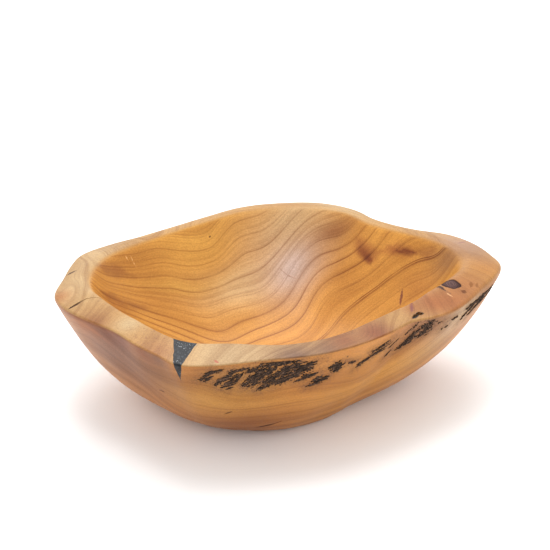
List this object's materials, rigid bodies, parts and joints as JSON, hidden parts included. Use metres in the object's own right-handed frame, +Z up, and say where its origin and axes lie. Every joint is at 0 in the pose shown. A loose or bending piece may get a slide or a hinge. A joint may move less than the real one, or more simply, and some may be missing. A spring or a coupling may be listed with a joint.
{
  "type": "carved root-wood bowl",
  "caption": "Free-form carved wooden bowl with a broad sanded rim, a dark resin wedge in a split, a dead knot and strips of old bark on the front wall.",
  "frame": {"origin": "centre of the flat foot, on the table", "axes": "+Z up, out of the hollow; +X along the length to the pointed end with the dead knot; -Y is the side with the resin wedge and the bark"},
  "size_m": [0.3008, 0.2333, 0.0893],
  "materials": {
    "root_wood": "satin oiled and sanded",
    "resin": "near-black cast resin, sanded and polished",
    "stone": "crushed pale stone set in resin",
    "knot_wood": "dense dark knot, satin",
    "bark": "raw ragged bark, matte"
  },
  "bodies": {
    "root": {"bowl_body": "root_wood", "resin_wedge": "resin", "stone_chips": "stone", "rim_knot": "knot_wood", "bark_front": "bark", "bark_drop": "bark", "bark_sliver": "bark", "bark_streak": "bark", "bark_corner": "bark", "bark_flakes": "bark", "bark_end": "bark"}
  },
  "joints": []
}
